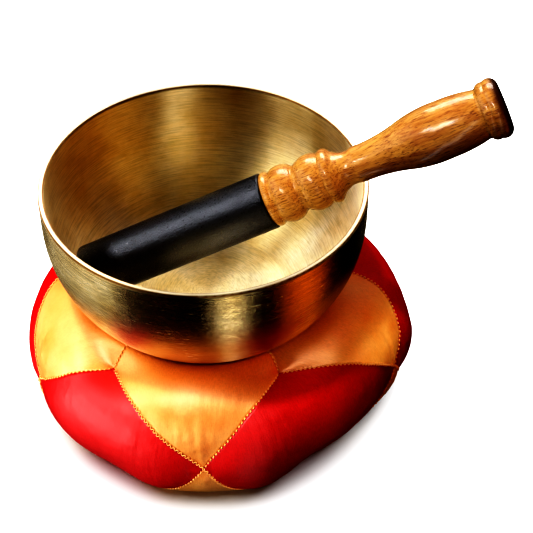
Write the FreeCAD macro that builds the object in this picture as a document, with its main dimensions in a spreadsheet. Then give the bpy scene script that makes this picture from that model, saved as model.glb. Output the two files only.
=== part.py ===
"""Brass singing bowl resting in a five-fold patchwork cushion, with its striker laid in the bowl.

Millimetres, +Z up.  The origin is on the floor, under the middle of the cushion, on the bowl's axis.
Azimuth 0 is the front (-Y) and grows towards +X.
"""

import FreeCAD, Part
import math
import os

import Sketcher

Vector = FreeCAD.Vector
UP = Vector(0, 0, 1)

doc = FreeCAD.newDocument("SingingBowl")

# ---------------------------------------------------------------- driving dimensions

SIZES = {
    # bowl
    "rim_height": 130,
    "bowl_radius": 75,
    "bowl_wall": 2.6,
    "rim_round": 0.9,
    "straight_depth": 15,
    "belly_radius": 67,
    "foot_radius": 40,
    # cushion
    "roll_radius": 36,
    "roll_height": 35.5,
    "ring_radius": 58,
    "dish_gap": 0.3,
    "cloth": 1.2,
    "panel_count": 5,
    "seam_width": 1.4,
    "corner_radius": 64.4,
    "top_apex_height": 5,
    # striker, measured along its axis from the leather tip
    "sleeve_radius": 13.3,
    "core_radius": 11.3,
    "sleeve_length": 95.2,
    "tip_round": 2.2,
    "sleeve_end_round": 0.8,
    "cap_recess": 0.4,
    "cap_thickness": 1.6,
    "bead_radius": 13.3,
    "neck_radius": 8.5,
    "grip_radius": 13.3,
    "knob_radius": 13.2,
    "striker_length": 209.4,
    # striker's place in the bowl
    "tip_x": -55.9,
    "tip_y": -7.3,
    "tip_z": 78.4,
    "striker_azimuth": 3.9,
    "striker_pitch": 25.41,
}

sheet = doc.addObject("Spreadsheet::Sheet", "Sizes")
for row, (alias, number) in enumerate(SIZES.items(), start=1):
    sheet.set(f"A{row}", alias)
    sheet.set(f"B{row}", str(number))
    sheet.setAlias(f"B{row}", alias)
doc.recompute()


def cell(alias):
    """The expression that reads one cell of the sheet."""
    return "Sizes." + alias


def value(expression):
    """The number that an expression over the sheet gives now."""
    return float(sheet.evalExpression(expression))


# ---------------------------------------------------------------- sketch helpers


def half_chord(radius, offset):
    """Expression for half the chord of a circle at a distance from its centre."""
    return f"sqrt(({radius})^2 - ({offset})^2)"


def crossing(centre_a, radius_a, centre_b, radius_b):
    """Expressions for the crossing of two circles that lies to the right of the way from a to b."""
    ax, az = centre_a
    bx, bz = centre_b
    span = f"sqrt((({bx}) - ({ax}))^2 + (({bz}) - ({az}))^2)"
    along = f"(({span})^2 + ({radius_a})^2 - ({radius_b})^2) / (2 * {span})"
    aside = half_chord(radius_a, along)
    ux = f"((({bx}) - ({ax})) / {span})"
    uz = f"((({bz}) - ({az})) / {span})"
    return (
        f"({ax}) + ({along}) * {ux} + ({aside}) * {uz}",
        f"({az}) + ({along}) * {uz} - ({aside}) * {ux}",
    )


def arc_edge(start, end, radius, bulge):
    """Arc between two points, bulging to the right (+1) or to the left (-1) of the way along it."""
    chord = end.sub(start)
    reach = chord.Length / 2
    right = Vector(chord.y, -chord.x, 0).normalize()
    centre = start.add(chord * 0.5).sub(right * (bulge * math.sqrt(radius**2 - reach**2)))
    first, last = (start, end) if bulge > 0 else (end, start)
    angles = [math.atan2(p.y - centre.y, p.x - centre.x) for p in (first, last)]
    circle = Part.Circle(centre, UP, radius)
    return Part.ArcOfCircle(circle, angles[0], angles[1])


def turned_body(label, outline):
    """PartDesign body revolved about Z.

    outline is a closed list of (x, z, edge): expressions for a corner, and the edge that leaves it, which is
    None for a straight line or (radius, bulge) for an arc.
    """
    body = doc.addObject("PartDesign::Body", label)
    body.Label = label
    sketch = body.newObject("Sketcher::SketchObject", label + "_outline")
    plane = next(o for o in body.Origin.OriginFeatures if o.Role == "XZ_Plane")
    sketch.AttachmentSupport = (plane, [""])
    sketch.MapMode = "FlatFace"

    corners = [Vector(value(x), value(z), 0) for x, z, _ in outline]
    ends = []
    for i, (_, _, edge) in enumerate(outline):
        start, end = corners[i], corners[(i + 1) % len(corners)]
        if edge is None:
            sketch.addGeometry(Part.LineSegment(start, end))
            ends.append((1, 2))
        else:
            radius, bulge = edge
            sketch.addGeometry(arc_edge(start, end, value(radius), bulge))
            ends.append((1, 2) if bulge > 0 else (2, 1))

    for i in range(len(outline)):
        after = (i + 1) % len(outline)
        sketch.addConstraint(Sketcher.Constraint("Coincident", i, ends[i][1], after, ends[after][0]))
    for i, (x, z, edge) in enumerate(outline):
        for kind, expression in (("DistanceX", x), ("DistanceY", z)):
            number = sketch.addConstraint(
                Sketcher.Constraint(kind, -1, 1, i, ends[i][0], value(expression))
            )
            sketch.setExpression(f"Constraints[{number}]", expression)
        if edge is not None:
            number = sketch.addConstraint(Sketcher.Constraint("Radius", i, value(edge[0])))
            sketch.setExpression(f"Constraints[{number}]", edge[0])

    turn = body.newObject("PartDesign::Revolution", label + "_turn")
    turn.Profile = sketch
    turn.ReferenceAxis = (sketch, ["V_Axis"])
    turn.Angle = 360
    sketch.Visibility = False
    return body


nodes = []

# ---------------------------------------------------------------- bowl

belly_x = f"({cell('bowl_radius')} - {cell('belly_radius')})"
belly_z = f"({cell('rim_height')} - {cell('straight_depth')})"
belly_inner = f"({cell('belly_radius')} - {cell('bowl_wall')})"
foot_drop = half_chord(cell("belly_radius"), f"{cell('foot_radius')} - {belly_x}")
foot_z = f"({belly_z} - {foot_drop})"


def bowl_outline():
    """Section of the wall: straight at the rim, then one round belly down to a flat foot."""
    rim = cell("rim_height")
    outer = cell("bowl_radius")
    wall = cell("bowl_wall")
    edge = cell("rim_round")
    floor = f"{foot_z} + {wall}"
    floor_x = f"{belly_x} + {half_chord(belly_inner, f'{belly_z} - ({floor})')}"
    return [
        ("0", foot_z, None),
        (cell("foot_radius"), foot_z, (cell("belly_radius"), 1)),
        (outer, belly_z, None),
        (outer, f"{rim} - {edge}", (edge, 1)),
        (f"{outer} - {edge}", rim, None),
        (f"{outer} - {wall} + {edge}", rim, (edge, 1)),
        (f"{outer} - {wall}", f"{rim} - {edge}", None),
        (f"{outer} - {wall}", belly_z, (belly_inner, -1)),
        (floor_x, floor, None),
        ("0", floor, None),
    ]


nodes.append(turned_body("bowl", bowl_outline()))

# ---------------------------------------------------------------- cushion: filling and the whole cover


def cushion_outline(inset):
    """Section of the cushion: a flat base, a round roll, and a dish that follows the bowl's belly."""
    radius = f"({cell('roll_radius')} - {inset})"
    ring = cell("ring_radius")
    middle = cell("roll_height")
    dish_radius = f"({cell('belly_radius')} + {cell('dish_gap')} + {inset})"
    dish_floor = f"({foot_z} - {cell('dish_gap')} - {inset})"
    base_x = f"{ring} + {half_chord(radius, f'{middle} - {inset}')}"
    dish_x = f"{belly_x} + {half_chord(dish_radius, f'{belly_z} - {dish_floor}')}"
    crest = crossing((ring, middle), radius, (belly_x, belly_z), dish_radius)
    return [
        ("0", inset, None),
        (base_x, inset, (radius, 1)),
        (f"{ring} + {radius}", middle, (radius, 1)),
        (crest[0], crest[1], (dish_radius, -1)),
        (dish_x, dish_floor, None),
        ("0", dish_floor, None),
    ]


whole_cushion = turned_body("whole_cushion", cushion_outline("0"))
filling = turned_body("cushion_filling", cushion_outline(cell("cloth")))
nodes.append(filling)

cover = doc.addObject("Part::Cut", "cover")
cover.Base = whole_cushion
cover.Tool = filling

# ---------------------------------------------------------------- seams

PANELS = int(value(cell("panel_count")))
STEP = 360 / PANELS
FAR = 3.0  # how far past the cover's surface a cutter reaches, as a factor

middle_height = value(cell("roll_height"))
APEX_HEIGHT = {1: value(cell("top_apex_height")), -1: middle_height}
corner_radius = value(cell("corner_radius"))
roll_radius = value(cell("roll_radius"))
side_radius = value(cell("ring_radius")) + roll_radius
corner_rise = math.sqrt(roll_radius**2 - (corner_radius - value(cell("ring_radius"))) ** 2)
seam_width = value(cell("seam_width"))


def around(azimuth, radius, height):
    """Point at an azimuth from the front."""
    angle = math.radians(azimuth)
    return Vector(radius * math.sin(angle), -radius * math.cos(angle), height)


def seam_points(side, azimuth):
    """Apex of the cutters, the cover's corner at azimuth, and its side corners to the left and right.

    side is +1 for the seams on top and -1 for those underneath.
    """
    apex = Vector(0, 0, APEX_HEIGHT[side])
    corner = around(azimuth, corner_radius, middle_height + side * corner_rise)
    left = around(azimuth - STEP / 2, side_radius, middle_height)
    right = around(azimuth + STEP / 2, side_radius, middle_height)
    return apex, corner, left, right


def far_point(apex, point):
    return apex.add(point.sub(apex) * FAR)


def solid_of(faces):
    """Closed solid from lists of corners, one list for each flat face."""
    shell = Part.makeShell([Part.Face(Part.makePolygon(f + [f[0]])) for f in faces])
    solid = Part.makeSolid(shell)
    if solid.Volume < 0:
        solid.reverse()
    return solid


def kite_wedge(side, azimuth):
    """Pyramid from the apex that holds one kite, whose side corner is at azimuth."""
    apex, left_corner, _, side_corner = seam_points(side, azimuth - STEP / 2)
    right_corner = seam_points(side, azimuth + STEP / 2)[1]
    pole = apex.add(Vector(0, 0, side * FAR * middle_height))
    a, b, c = (far_point(apex, p) for p in (left_corner, side_corner, right_corner))
    halves = []
    for p, q in ((a, b), (b, c)):
        halves.append(solid_of([[apex, p, q], [apex, q, pole], [apex, pole, p], [p, pole, q]]))
    return halves[0].fuse(halves[1]).removeSplitter()


def seam_slab(apex, start, end):
    """Flat slab, one seam wide, through the apex and two points of the cover."""
    p, q = far_point(apex, start), far_point(apex, end)
    normal = p.sub(apex).cross(q.sub(apex)).normalize()
    shift = normal * (-seam_width / 2)
    outline = Part.makePolygon([v.add(shift) for v in (apex, p, q, apex)])
    return Part.Face(outline).extrude(normal * seam_width)


def zigzag_cutter(side):
    """The slabs of the seam that runs round between the kites and the side panels."""
    slabs = []
    for k in range(PANELS):
        apex, corner, left, right = seam_points(side, (k + 0.5) * STEP)
        slabs += [seam_slab(apex, left, corner), seam_slab(apex, corner, right)]
    return slabs[0].multiFuse(slabs[1:])


def star_cutter(side):
    """The slabs of the seams between neighbouring kites, from the pole out to their corners."""
    slabs = []
    for k in range(PANELS):
        apex, corner, _, _ = seam_points(side, (k + 0.5) * STEP)
        slabs.append(seam_slab(apex, corner, Vector(0, 0, middle_height + side * middle_height)))
    return slabs[0].multiFuse(slabs[1:])


def cutter(name, shape):
    feature = doc.addObject("Part::Feature", name)
    feature.Shape = shape
    feature.Placement = FreeCAD.Placement()
    return feature


def boolean(kind, name, base, tool):
    feature = doc.addObject("Part::" + kind, name)
    feature.Base = base
    feature.Tool = tool
    return feature


zigzags = {side: cutter(f"zigzag_{name}", zigzag_cutter(side)) for side, name in ((1, "top"), (-1, "base"))}
stars = {side: cutter(f"star_{name}", star_cutter(side)) for side, name in ((1, "top"), (-1, "base"))}

all_seams = doc.addObject("Part::MultiFuse", "all_seams")
all_seams.Shapes = [zigzags[1], zigzags[-1], stars[1], stars[-1]]


def seam_thread(label, own, earlier):
    """The thread in one run of seam, without the places where earlier runs already pass."""
    thread = boolean("Common", label + "_run", cover, own)
    for number, other in enumerate(earlier):
        thread = boolean("Cut", f"{label}_trim_{number + 1}", thread, other)
    thread.Label = label
    return thread


nodes.append(seam_thread("upper_seam_thread", zigzags[1], []))
nodes.append(seam_thread("lower_seam_thread", zigzags[-1], [zigzags[1]]))
nodes.append(seam_thread("top_seam_thread", stars[1], [zigzags[1]]))
nodes.append(seam_thread("bottom_seam_thread", stars[-1], [zigzags[-1]]))

# ---------------------------------------------------------------- cover panels


def kite_panel(label, side, azimuth):
    wedge = cutter(label + "_wedge", kite_wedge(side, azimuth))
    piece = boolean("Common", label + "_piece", cover, wedge)
    panel = boolean("Cut", label + "_panel", piece, all_seams)
    panel.Label = label
    return panel, wedge


kite_wedges = []
for side, name in ((1, "top"), (-1, "bottom")):
    for k in range(PANELS):
        panel, wedge = kite_panel(f"{name}_panel_{k + 1}", side, k * STEP)
        nodes.append(panel)
        kite_wedges.append(wedge)

all_kites = doc.addObject("Part::MultiFuse", "all_kites")
all_kites.Shapes = kite_wedges

side_cloth = boolean("Cut", "side_cloth", cover, all_kites)
side_band = boolean("Cut", "side_band", side_cloth, all_seams)

for k in range(PANELS):
    label = f"side_panel_{k + 1}"
    sector = doc.addObject("Part::Cylinder", label + "_sector")
    sector.setExpression("Radius", f"{cell('ring_radius')} + 2 * {cell('roll_radius')}")
    sector.setExpression("Height", f"2 * {cell('roll_radius')}")
    sector.setExpression("Angle", f"360 / {cell('panel_count')}")
    sector.Placement = FreeCAD.Placement(Vector(), FreeCAD.Rotation(UP, k * STEP - 90))
    panel = boolean("Common", label + "_panel", side_band, sector)
    panel.Label = label
    nodes.append(panel)

# ---------------------------------------------------------------- striker


def striker_place():
    """The striker's axis: from the leather tip, up and over the rim."""
    tip = Vector(value(cell("tip_x")), value(cell("tip_y")), value(cell("tip_z")))
    tilt = FreeCAD.Rotation(Vector(0, 1, 0), 90 - value(cell("striker_pitch")))
    turn = FreeCAD.Rotation(UP, value(cell("striker_azimuth")))
    return FreeCAD.Placement(tip, turn.multiply(tilt))


def along(offset):
    """Expression for a place on the handle, counted from the end of the sleeve."""
    return f"{cell('sleeve_length')} + {offset}"


def handle_outline():
    """Turned handle: core, ring, two beads, collar, slim neck, swelling grip and end knob."""
    bead = cell("bead_radius")
    neck = cell("neck_radius")
    grip = cell("grip_radius")
    knob = cell("knob_radius")
    core = cell("core_radius")
    end = cell("striker_length")
    start = f"{cell('cap_recess')} + {cell('cap_thickness')}"
    return [
        ("0", start, None),
        (core, start, None),
        (core, cell("sleeve_length"), None),
        # ring against the sleeve
        (f"{bead} - 0.9", along(0), ("2.1", 1)),
        (f"{bead} - 1.3", along(3.4), None),
        # first bead, its groove ring, and second bead
        (f"{bead} - 1.3", along(4.2), ("8", 1)),
        (f"{bead} - 1.7", along(14.4), None),
        (f"{bead} - 2.3", along(14.9), ("2.4", -1)),
        (f"{bead} - 1.5", along(17.6), None),
        (f"{bead} - 1.5", along(18), ("9", 1)),
        (f"{bead} - 1.4", along(27.6), None),
        (f"{bead} - 1.7", along(28.3), None),
        # collar
        (f"{bead} - 1.2", along(28.6), ("3", 1)),
        (f"{bead} - 1.5", along(33), ("9", -1)),
        # neck and grip
        (neck, along(43.8), ("75", -1)),
        (f"{grip} - 2.4", along(65), ("62", 1)),
        (grip, along(86), ("75", 1)),
        (f"{grip} - 1.8", along(103.2), None),
        # end knob
        (f"{knob} - 1.5", along(104), ("3.4", 1)),
        (knob, along(108), ("4", 1)),
        (f"{knob} - 3.2", end, None),
        ("0", end, None),
    ]


def sleeve_outline():
    """Leather tube with a well rounded striking end."""
    outer = cell("sleeve_radius")
    core = cell("core_radius")
    tip = cell("tip_round")
    edge = cell("sleeve_end_round")
    length = cell("sleeve_length")
    lip = f"{outer} - {tip}"
    return [
        (core, f"{tip} - {half_chord(tip, f'{core} - ({lip})')}", (tip, 1)),
        (outer, tip, None),
        (outer, f"{length} - {edge}", (edge, 1)),
        (f"{outer} - {edge}", length, None),
        (core, length, None),
    ]


def cap_outline():
    """Leather disc that closes the end of the sleeve."""
    core = cell("core_radius")
    face = cell("cap_recess")
    back = f"{face} + {cell('cap_thickness')}"
    return [("0", face, None), (core, face, None), (core, back, None), ("0", back, None)]


for label, outline in (
    ("striker_handle", handle_outline()),
    ("striker_sleeve", sleeve_outline()),
    ("striker_end_cap", cap_outline()),
):
    body = turned_body(label, outline)
    body.Placement = striker_place()
    nodes.append(body)

# ---------------------------------------------------------------- check and export

doc.recompute()

for obj in doc.Objects:
    if "Invalid" in obj.State or "Error" in obj.State:
        raise RuntimeError(f"{obj.Name} failed: {obj.State}")
for node in nodes:
    if node.Shape.isNull() or not node.Shape.isValid() or not node.Shape.Solids:
        raise RuntimeError(f"{node.Label} is not a valid solid")

os.makedirs("parts", exist_ok=True)
for node in nodes:
    node.Shape.exportStep(f"parts/{node.Label}.step")
    solids = len(node.Shape.Solids)
    print(f"{node.Label:20s} {solids:3d} solid(s) {node.Shape.Volume / 1000:9.2f} cm3")
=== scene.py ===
import math

import bpy
import numpy as np
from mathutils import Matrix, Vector


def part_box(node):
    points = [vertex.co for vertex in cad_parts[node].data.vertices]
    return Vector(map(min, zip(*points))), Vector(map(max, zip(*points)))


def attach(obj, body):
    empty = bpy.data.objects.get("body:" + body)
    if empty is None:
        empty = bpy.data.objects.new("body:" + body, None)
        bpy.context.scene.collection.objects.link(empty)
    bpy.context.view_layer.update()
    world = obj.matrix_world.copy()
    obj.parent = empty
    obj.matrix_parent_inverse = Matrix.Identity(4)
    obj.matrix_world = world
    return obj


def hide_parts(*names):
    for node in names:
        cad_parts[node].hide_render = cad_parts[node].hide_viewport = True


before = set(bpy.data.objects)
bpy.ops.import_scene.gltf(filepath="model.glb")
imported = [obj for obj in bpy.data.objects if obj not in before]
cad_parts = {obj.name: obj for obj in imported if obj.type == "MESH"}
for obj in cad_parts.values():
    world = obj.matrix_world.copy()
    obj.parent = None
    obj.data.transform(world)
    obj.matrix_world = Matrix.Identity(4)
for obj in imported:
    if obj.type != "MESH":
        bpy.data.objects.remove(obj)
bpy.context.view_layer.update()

MM = 0.001
RANDOM = np.random.default_rng(7)

# ---------------------------------------------------------------- places read from the frame

bowl_low, bowl_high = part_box("bowl")
RIM_RADIUS = bowl_high.x
RIM_HEIGHT = bowl_high.z
FOOT_HEIGHT = bowl_low.z

BELLY_RADIUS = 67 * MM
BELLY_HEIGHT = RIM_HEIGHT - 15 * MM
BELLY_OFFSET = RIM_RADIUS - BELLY_RADIUS
FOOT_RADIUS = BELLY_OFFSET + math.sqrt(BELLY_RADIUS**2 - (BELLY_HEIGHT - FOOT_HEIGHT) ** 2)
FOOT_ANGLE = 61.4  # degrees below the level of the belly at which its arc meets the flat foot
WALL = 2.6 * MM

PANELS = 5
STEP = 2 * math.pi / PANELS
TINY = 1e-12

# ---------------------------------------------------------------- mesh helpers


def new_mesh(name, points, faces, smooth=True):
    """A mesh in the scene, from points and faces of any number of corners."""
    mesh = bpy.data.meshes.new(name)
    corners = [[int(number) for number in face] for face in faces]
    mesh.from_pydata(np.asarray(points, dtype=float).tolist(), [], corners)
    mesh.validate()
    mesh.update()
    if smooth:
        mesh.shade_smooth()
    piece = bpy.data.objects.new(name, mesh)
    bpy.context.scene.collection.objects.link(piece)
    return piece


def grid_quads(numbers):
    """Quads of a grid of point numbers."""
    corners = numbers[:-1, :-1], numbers[1:, :-1], numbers[1:, 1:], numbers[:-1, 1:]
    return np.stack(corners, axis=-1).reshape(-1, 4)


def lathe(name, profile, turns):
    """Closed solid of revolution about Z from (radius, height) points that start and end near the axis."""
    ring = np.array(profile)
    angles = np.arange(turns) * 2 * math.pi / turns
    points = np.stack(
        [
            ring[:, :1] * np.cos(angles),
            ring[:, :1] * np.sin(angles),
            np.repeat(ring[:, 1:], turns, axis=1),
        ],
        axis=-1,
    ).reshape(-1, 3)
    numbers = np.arange(len(points)).reshape(len(ring), turns)
    numbers = np.concatenate([numbers, numbers[:, :1]], axis=1)
    faces = [*grid_quads(numbers), numbers[0, :-1][::-1], numbers[-1, :-1]]
    return new_mesh(name, points, faces)


def square(name, half, smooth=True):
    """A flat square on the ground, reaching half its side each way from the middle."""
    corners = [(-half, -half, 0), (half, -half, 0), (half, half, 0), (-half, half, 0)]
    return new_mesh(name, corners, [(0, 1, 2, 3)], smooth)


def arc(centre, radius, start, end, steps):
    """Points of an arc in a section, angles in degrees."""
    angles = np.radians(np.linspace(start, end, steps + 1))
    return [(centre[0] + radius * math.cos(a), centre[1] + radius * math.sin(a)) for a in angles]


def unit(vectors):
    """The vectors at length one."""
    return vectors / np.maximum(np.linalg.norm(vectors, axis=-1, keepdims=True), TINY)


# ---------------------------------------------------------------- cushion section

ROLL_RADIUS = 36 * MM
ROLL_HEIGHT = 35.5 * MM
RING_RADIUS = 58 * MM
DISH_GAP = 0.8 * MM
DISH_STEPS = 30
ROLL_STEPS = 90
SECTION_STEPS = 600
ROUNDING = 120  # rounds of smoothing for the crest and the edges of the two flats


def cushion_section():
    """Round roll with a dish for the bowl: distances along the section, and its (radius, height) points."""
    dish = BELLY_RADIUS + DISH_GAP
    floor = FOOT_HEIGHT - DISH_GAP
    span = math.hypot(BELLY_OFFSET - RING_RADIUS, BELLY_HEIGHT - ROLL_HEIGHT)
    along = (span**2 + ROLL_RADIUS**2 - dish**2) / (2 * span)
    aside = math.sqrt(ROLL_RADIUS**2 - along**2)
    ux, uz = (BELLY_OFFSET - RING_RADIUS) / span, (BELLY_HEIGHT - ROLL_HEIGHT) / span
    crest = (RING_RADIUS + along * ux + aside * uz, ROLL_HEIGHT + along * uz - aside * ux)
    dish_start = -math.degrees(math.asin((BELLY_HEIGHT - floor) / dish))
    dish_end = -math.degrees(math.atan2(BELLY_HEIGHT - crest[1], crest[0] - BELLY_OFFSET))
    roll_start = math.degrees(math.atan2(crest[1] - ROLL_HEIGHT, crest[0] - RING_RADIUS))
    roll_end = -math.degrees(math.asin(ROLL_HEIGHT / ROLL_RADIUS))
    points = [(0.0, floor)]
    points += arc((BELLY_OFFSET, BELLY_HEIGHT), dish, dish_start, dish_end, DISH_STEPS)
    points += arc((RING_RADIUS, ROLL_HEIGHT), ROLL_RADIUS, roll_start, roll_end, ROLL_STEPS)[1:]
    points += [(0.0, 0.0)]
    points = np.array(points)
    reach = np.r_[0, np.cumsum(np.hypot(*np.diff(points, axis=0).T))]
    even = np.linspace(0, reach[-1], SECTION_STEPS)
    rounded = np.c_[np.interp(even, reach, points[:, 0]), np.interp(even, reach, points[:, 1])]
    for _ in range(ROUNDING):
        rounded[1:-1] = (rounded[:-2] + 2 * rounded[1:-1] + rounded[2:]) / 4
    return even, rounded


SECTION_REACH, SECTION = cushion_section()


def on_section(reach):
    """Radius and height at distances along the section."""
    return np.interp(reach, SECTION_REACH, SECTION[:, 0]), np.interp(reach, SECTION_REACH, SECTION[:, 1])


def reach_where(radius, above):
    """Distance along the section to a radius on the outer side of the roll, above or below its middle."""
    widest = int(SECTION[:, 0].argmax())
    side = slice(widest // 2, widest) if above else slice(widest, None)
    return SECTION_REACH[side][np.abs(SECTION[side, 0] - radius).argmin()]


# ---------------------------------------------------------------- seam lines and panels

CELLS = 28  # along each side of a panel
SAME_PLACE = 6  # decimals of a metre to which two points of a seam agree
TOP_CORNER = reach_where(67 * MM, above=True)
SIDE_CORNER = reach_where(93.9 * MM, above=False)
LOW_CORNER = reach_where(68 * MM, above=False)
FULL_REACH = SECTION_REACH[-1]

# hand sewing: how far each kind of corner sits off its even place, and how far the upper seams bow out
TOP_TURN = np.radians([-3.7, -2.5, -4.5, -3, -4.3])
TOP_DROP = np.array([-1, 0, 1, -1, 2.2]) * MM
SIDE_TURN = np.radians([0, 0, 1.5, -1.5, 4])
SIDE_DROP = np.array([0, 0, 1, -1, 3]) * MM
NO_SHIFT = np.zeros(PANELS)
LEFT_BOW = np.array([8.6, 6, 7, 8, 10]) * MM
RIGHT_BOW = np.array([3.8, 4, 6, 4, 9]) * MM


def surface(azimuth, reach, inset=0.0):
    """Points of the cushion's round at azimuths and section distances, drawn in by inset along the normal."""
    azimuth, reach = np.broadcast_arrays(azimuth, reach)
    radius, height = on_section(reach)
    before, after = on_section(reach - MM), on_section(reach + MM)
    outwards, upwards = after[0] - before[0], after[1] - before[1]
    size = np.hypot(outwards, upwards) + TINY
    radius = radius - inset * (-upwards / size)
    height = height - inset * (outwards / size)
    return np.stack([radius * np.sin(azimuth), -radius * np.cos(azimuth), height], axis=-1)


def coons(bottom, top, left, right):
    """Patch between four edge curves: bottom and top run along the columns, left and right along the rows."""
    n = len(bottom)
    u = np.linspace(0, 1, n)[:, None, None]
    v = np.linspace(0, 1, n)[None, :, None]
    ruled = (1 - u) * bottom[None] + u * top[None] + (1 - v) * left[:, None] + v * right[:, None]
    corners = (
        (1 - u) * (1 - v) * bottom[0]
        + (1 - u) * v * bottom[-1]
        + u * (1 - v) * top[0]
        + u * v * top[-1]
    )
    return ruled - corners


def flat_map(azimuth, reach):
    """The round spread flat about its pole, where a straight line is a straight seam."""
    return np.stack([reach * np.sin(azimuth), reach * np.cos(azimuth)], axis=-1)


def seam(start, end, from_pole, bow=0.0):
    """Azimuths and section distances along a seam between two corners."""
    share = np.linspace(0, 1, CELLS + 1)[:, None]
    first, last = flat_map(start[0], from_pole(start[1])), flat_map(end[0], from_pole(end[1]))
    line = first + (last - first) * share
    across = (last - first)[::-1] * np.array([1, -1]) / np.linalg.norm(last - first)
    line = line + across * bow * 4 * share * (1 - share)
    return np.stack([np.arctan2(line[:, 0], line[:, 1]), from_pole(np.linalg.norm(line, axis=1))], axis=-1)


def top_pole(reach):
    """Distance from the seat's middle, and back again."""
    return reach


def low_pole(reach):
    """Distance from the underside's middle, and back again."""
    return FULL_REACH - reach


def make_panels():
    """Grids of (azimuth, section distance) for every panel of the cover."""
    panels = {}
    for k in range(PANELS):
        middle = k * STEP
        side = (SIDE_TURN[k], SIDE_CORNER + SIDE_DROP[k])
        for name, pole, corner, end, turn, drop, bows in (
            ("top_panel", top_pole, TOP_CORNER, 0.0, TOP_TURN, TOP_DROP, (-LEFT_BOW[k], RIGHT_BOW[k])),
            ("bottom_panel", low_pole, LOW_CORNER, FULL_REACH, NO_SHIFT, NO_SHIFT, (0, 0)),
        ):
            left = (-STEP / 2 + turn[k - 1], corner + drop[k - 1])
            right = (STEP / 2 + turn[k], corner + drop[k])
            lines = (
                seam((0.0, end), right, pole),
                seam(left, side, pole, bows[0]),
                seam((0.0, end), left, pole),
                seam(right, side, pole, bows[1]),
            )
            grid = coons(*[flat_map(line[:, 0], pole(line[:, 1])) for line in lines])
            reach = pole(np.linalg.norm(grid, axis=-1))
            azimuth = np.arctan2(grid[..., 0], grid[..., 1]) + middle
            panels[f"{name}_{k + 1}"] = np.stack([azimuth, reach], axis=-1)
    for k in range(PANELS):
        following = (k + 1) % PANELS + 1
        before, after = panels[f"top_panel_{k + 1}"], panels[f"top_panel_{following}"]
        low_before, low_after = panels[f"bottom_panel_{k + 1}"], panels[f"bottom_panel_{following}"]
        turn = np.array([2 * math.pi if k == PANELS - 1 else 0, 0])
        upper_left, upper_right = before[:, -1], after[-1, :] + turn
        lower_left, lower_right = low_before[::-1, -1], low_after[-1, ::-1] + turn
        panels[f"side_panel_{k + 1}"] = coons(upper_left, lower_right, upper_right, lower_left)
    return panels


def sew(panels):
    """One closed net from all panels.

    Gives each point's azimuth and section distance, the quads facing out, each panel's grid of numbers, and
    whether the rows and columns of that grid face into the cushion.
    """
    rounds = np.array([surface(grid[..., 0], grid[..., 1]) for grid in panels.values()])
    deeper = np.array([surface(grid[..., 0], grid[..., 1], MM) for grid in panels.values()])
    keys, numbers = np.unique(np.round(rounds.reshape(-1, 3), SAME_PLACE), axis=0, return_inverse=True)
    numbers = numbers.reshape(rounds.shape[:3])
    places = np.zeros((len(keys), 2))
    quads = []
    flipped = {}
    middle = CELLS // 2
    for name, grid, outer, inner in zip(panels, numbers, rounds, deeper):
        places[grid.ravel()] = panels[name].reshape(-1, 2)
        here = outer[middle, middle]
        down, across = outer[middle + 1, middle] - here, outer[middle, middle + 1] - here
        flipped[name] = np.dot(np.cross(down, across), here - inner[middle, middle]) < 0
        faces = grid_quads(grid)
        quads.append(faces[:, ::-1] if flipped[name] else faces)
    return places, np.concatenate(quads), dict(zip(panels, numbers)), flipped


# ---------------------------------------------------------------- the cushion's shape

# how far the sewn seams are drawn in below the round of the cushion, and how wide the hollow is
COVER_INSET = 0.8 * MM
SEAM_DRAW, SEAM_WIDTH = 1.3 * MM, 7 * MM
TOP_DIMPLE, TOP_WIDTH = 11 * MM, 22 * MM
SIDE_DIMPLE, SIDE_WIDTH = 1.2 * MM, 10 * MM
LOW_DIMPLE, LOW_WIDTH = 2 * MM, 10 * MM

# distances along the section, from the seat's middle, over which the cover comes free of the bowl, starts to
# follow the cloth solver and stops being smoothed
SEAT_EDGE = 58 * MM, 66 * MM
SOLVER_TAKES_OVER = 78 * MM, 100 * MM
STRETCHED = 86 * MM, 98 * MM
UNDERSIDE_EDGE = 60 * MM, 68 * MM  # the same, from the underside's middle
CALM = 0.12  # share of the solver's movement left where the bowl stretches the cover
MOST_MOVED = 2.6 * MM

LEAN = 5 * MM  # the stuffing has settled to one side
SPREAD = 1.8 * MM
LEANING = 60 * MM, 84 * MM  # radii over which it does
UNEVEN = 0.12 * MM  # random unevenness of the cover

COVER_GAP = 0.7 * MM  # between the cover and the bowl
FLOOR_GAP = 0.4 * MM
SMOOTHING = 0.6
SMOOTH_ROUNDS = 8
CORNER_KEPT = 1.5 * MM, 5 * MM  # distances from a top corner over which smoothing sets in

# lumps and hollows in the stuffing: azimuth in degrees, then mm below the side corners, mm across and mm high
LUMPS = (
    (52, 14, 24, -6),
    (66, 6, 12, -2.5),
    (34, 20, 15, -6),
    (84, -3, 14, 2.5),
    (-32, 20, 16, -3),
    (-13, 26, 12, 3),
    (14, 26, 12, 3),
    (-108, -4, 22, -2.5),
    (130, 5, 25, 2),
    (-140, 10, 28, 1.5),
    (180, -5, 25, -2),
)

SIM_SCALE = 10  # the cloth solver is steadier on a body about two metres across
SIM_FRAMES = 16
PINNED_TOP = 2 * MM  # round a top corner
PINNED_SIDE = 1.5 * MM  # round a side corner
TIGHT_SEAM = 1.2 * MM


def distance_to(points, marks):
    """Distance from each point to the nearest of some marks."""
    return np.array([np.sqrt(((marks - p) ** 2).sum(axis=1).min()) for p in points])


def fade(values, start, end):
    """0 before start, 1 after end, smooth between."""
    share = np.clip((values - start) / (end - start), 0, 1)
    return share * share * (3 - 2 * share)


def dome(distance, width):
    """1 at no distance, falling away over the width."""
    return np.exp(-((distance / width) ** 2))


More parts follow.
